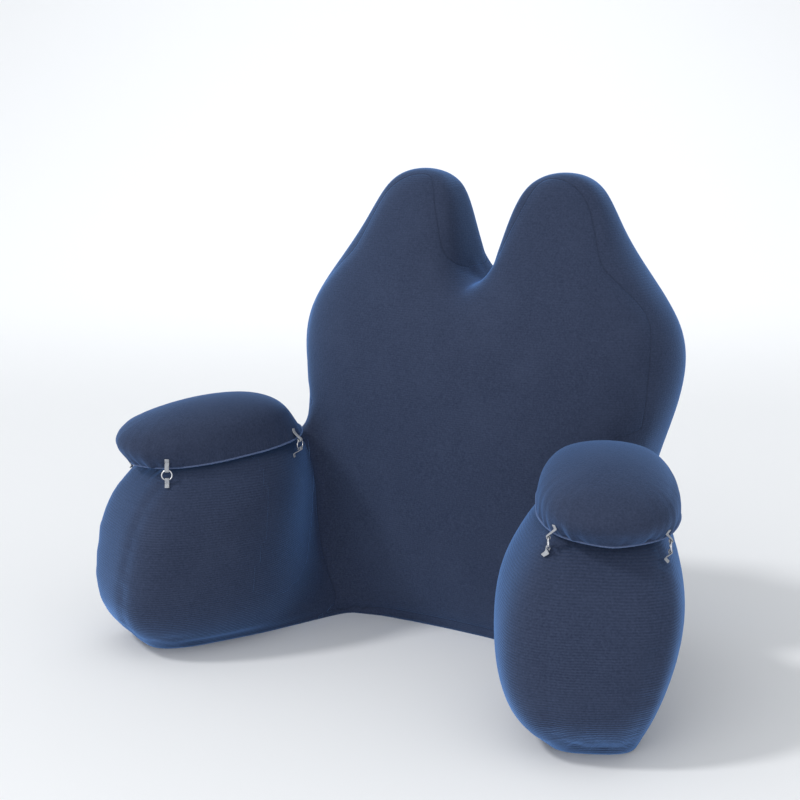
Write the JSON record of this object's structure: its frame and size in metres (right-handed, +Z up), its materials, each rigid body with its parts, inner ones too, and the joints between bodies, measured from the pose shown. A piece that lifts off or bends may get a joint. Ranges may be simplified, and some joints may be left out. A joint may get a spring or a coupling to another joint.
{
  "type": "reading pillow",
  "caption": "Filled backrest pillow with rounded ears, a notch between them and splayed arms, each carrying a domed oval cushion on tapes and small metal rings",
  "frame": {"origin": "on the flat underside, in the plane of symmetry, under the middle of the backrest", "axes": "+Z up, -Y the way the pillow faces, X across it from arm to arm"},
  "size_m": [0.8282, 0.5285, 0.618],
  "materials": {
    "ribbed_cloth": "ribbed velvet, dark blue",
    "ring_metal": "bright wire",
    "tape_cloth": "flat woven tape, light grey"
  },
  "bodies": {
    "root": {"body": "ribbed_cloth", "arm_cushion_right": "ribbed_cloth", "arm_cushion_left": "ribbed_cloth", "ring_right_inner_front": "ring_metal", "ring_right_outer_front": "ring_metal", "ring_right_inner_rear": "ring_metal", "ring_right_outer_rear": "ring_metal", "ring_left_inner_front": "ring_metal", "ring_left_outer_front": "ring_metal", "ring_left_inner_rear": "ring_metal", "ring_left_outer_rear": "ring_metal", "cushion_tape_right_inner_front": "tape_cloth", "cushion_tape_right_outer_front": "tape_cloth", "cushion_tape_right_inner_rear": "tape_cloth", "cushion_tape_right_outer_rear": "tape_cloth", "cushion_tape_left_inner_front": "tape_cloth", "cushion_tape_left_outer_front": "tape_cloth", "cushion_tape_left_inner_rear": "tape_cloth", "cushion_tape_left_outer_rear": "tape_cloth", "arm_tape_right_inner_front": "tape_cloth", "arm_tape_right_outer_front": "tape_cloth", "arm_tape_right_inner_rear": "tape_cloth", "arm_tape_right_outer_rear": "tape_cloth", "arm_tape_left_inner_front": "tape_cloth", "arm_tape_left_outer_front": "tape_cloth", "arm_tape_left_inner_rear": "tape_cloth", "arm_tape_left_outer_rear": "tape_cloth"}
  },
  "joints": []
}
